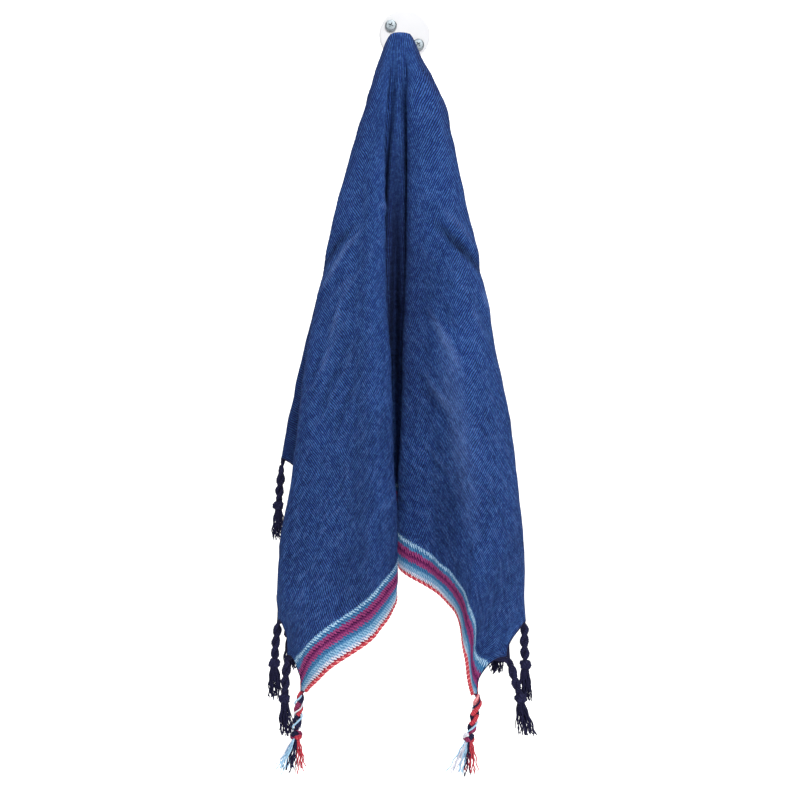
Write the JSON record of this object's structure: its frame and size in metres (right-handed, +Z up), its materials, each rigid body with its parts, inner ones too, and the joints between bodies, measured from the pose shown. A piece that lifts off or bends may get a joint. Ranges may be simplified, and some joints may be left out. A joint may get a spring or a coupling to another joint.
{
  "type": "washcloth on wall hook",
  "caption": "Hand-woven blue washcloth with striped ends and twisted tassels along two edges, draped by its middle over a small round wall hook.",
  "frame": {"origin": "middle of the hook plate's back face, which lies on the wall", "axes": "+Z up, +Y into the wall, the front of the cloth looks along -Y"},
  "size_m": [0.1449, 0.0936, 0.4236],
  "materials": {
    "cloth": "hand-woven cotton, indigo blue with striped ends, matt with crepe wrinkles",
    "navy_yarn": "twisted cotton yarn, navy",
    "corner_yarn": "twisted cotton yarn, red, white, light blue and navy",
    "enamel": "white enamel, satin",
    "zinc": "zinc-plated steel"
  },
  "bodies": {
    "root": {"washcloth": "cloth", "hook_plate": "enamel", "hook_arm": "enamel", "screw_1": "zinc", "screw_2": "zinc", "tassel_left_01": "corner_yarn", "tassel_left_02": "navy_yarn", "tassel_left_03": "navy_yarn", "tassel_left_04": "navy_yarn", "tassel_left_05": "navy_yarn", "tassel_left_06": "navy_yarn", "tassel_left_07": "navy_yarn", "tassel_left_08": "navy_yarn", "tassel_left_09": "navy_yarn", "tassel_left_10": "navy_yarn", "tassel_left_11": "navy_yarn", "tassel_left_12": "navy_yarn", "tassel_left_13": "corner_yarn", "tassel_right_01": "corner_yarn", "tassel_right_02": "navy_yarn", "tassel_right_03": "navy_yarn", "tassel_right_04": "navy_yarn", "tassel_right_05": "navy_yarn", "tassel_right_06": "navy_yarn", "tassel_right_07": "navy_yarn", "tassel_right_08": "navy_yarn", "tassel_right_09": "navy_yarn", "tassel_right_10": "navy_yarn", "tassel_right_11": "navy_yarn", "tassel_right_12": "navy_yarn", "tassel_right_13": "corner_yarn"}
  },
  "joints": []
}
